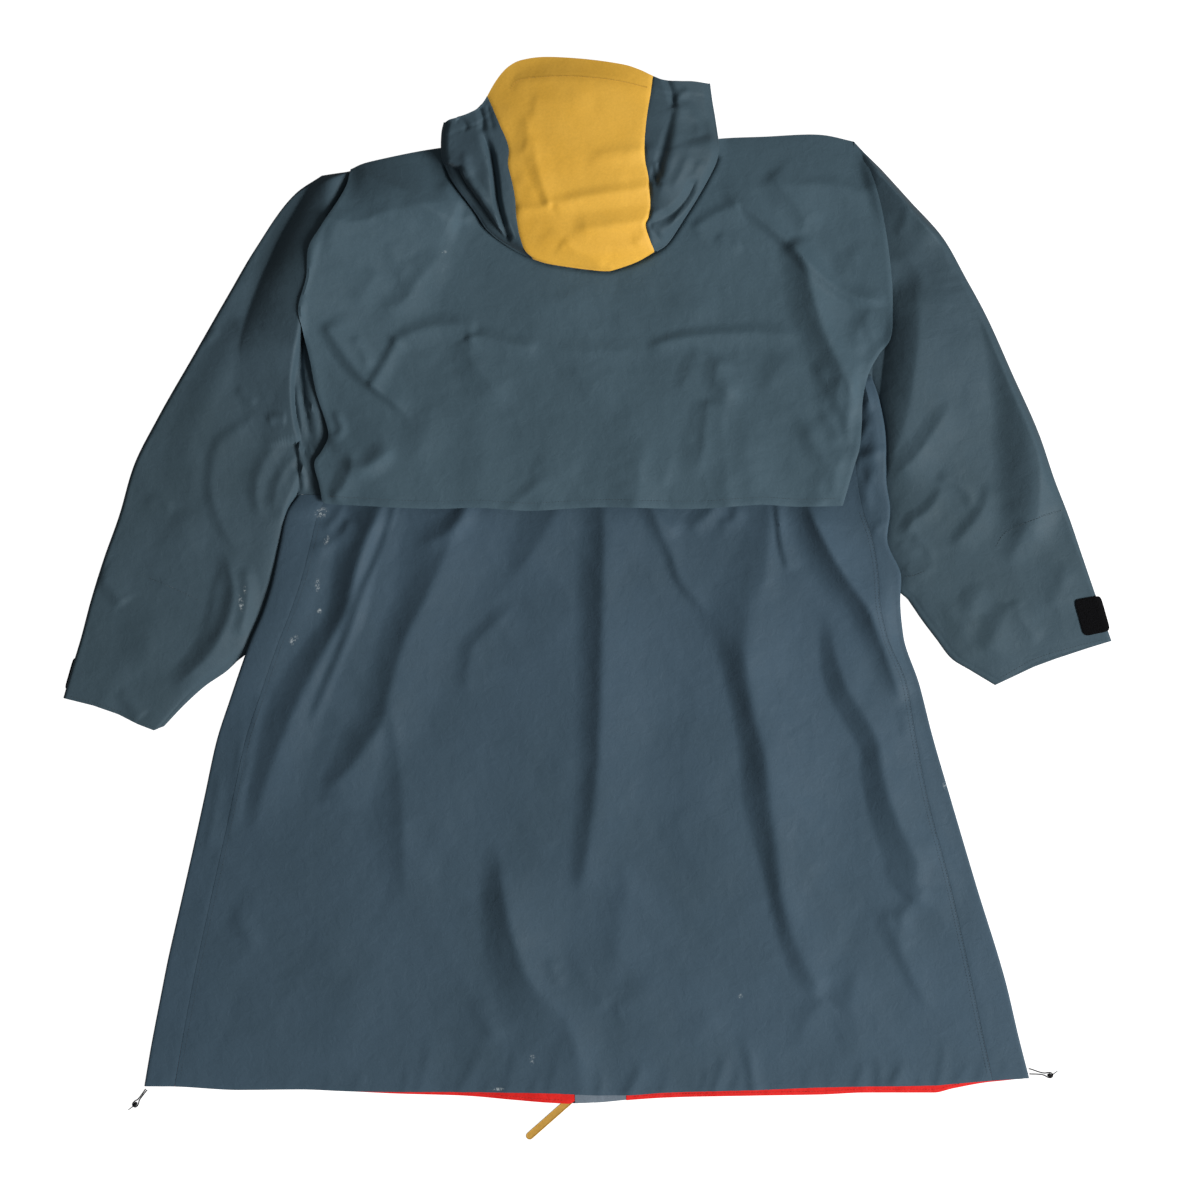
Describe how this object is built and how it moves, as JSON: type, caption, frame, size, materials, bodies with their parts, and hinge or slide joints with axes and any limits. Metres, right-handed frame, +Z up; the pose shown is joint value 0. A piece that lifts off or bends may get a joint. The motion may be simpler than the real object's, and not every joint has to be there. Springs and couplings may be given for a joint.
{
  "type": "shell jacket",
  "caption": "Long A-line hooded shell jacket laid flat on its front, back up: loose back cape, hood thrown back with a mustard centre panel, front zip, cuff tabs and hem drawcords.",
  "frame": {"origin": "centre of the laid jacket's footprint, on the surface it rests on", "axes": "+Z up from the surface through the jacket's layers, +Y from the hem towards the hood, +X towards the sleeve on the right as seen from above with the hood at the top"},
  "size_m": [1.047, 1.082, 0.0382],
  "materials": {
    "shell_slate": "matt coated shell cloth with a fine dense weave and a soft sheen",
    "shell_mustard": "matt coated shell cloth, smoother and a little brighter at its folds",
    "facing_red": "plain-woven lining cloth with a soft sheen",
    "flap_grey": "plain-woven lining cloth, matt",
    "zip_tape": "ribbed polyester tape, matt",
    "zip_teeth": "moulded plastic teeth, satin",
    "slider_metal": "dark lacquered die casting, satin",
    "puller_rubber": "moulded soft rubbery plastic, matt",
    "hook_loop_black": "dense brushed loops, matt black",
    "drawcord": "braided round elastic cord, matt"
  },
  "bodies": {
    "root": {"front_left": "shell_slate", "front_right": "shell_slate", "back": "shell_slate", "cape": "shell_slate", "sleeve_left": "shell_slate", "sleeve_right": "shell_slate", "hood_left": "shell_slate", "hood_right": "shell_slate", "hood_centre": "shell_mustard", "collar": "shell_slate", "hem_facing_left": "facing_red", "hem_facing_right": "facing_red", "zip_flap": "flap_grey", "zip_tape_left": "zip_tape", "zip_tape_right": "zip_tape", "zip_chain": "zip_teeth", "zip_slider": "slider_metal", "cuff_tab_left": "hook_loop_black", "cuff_tab_right": "hook_loop_black", "hem_cord_left": "drawcord", "hem_cord_right": "drawcord", "hem_knot_left": "drawcord", "hem_knot_right": "drawcord"},
    "puller": {"zip_puller": "puller_rubber"}
  },
  "joints": [
    {"name": "puller_swing", "type": "hinge", "parent": "root", "child": "puller", "pos_m": [-0.0015, -0.48757, 0.001], "axis": [0, 0, 1], "range_deg": [-20, 117]}
  ]
}
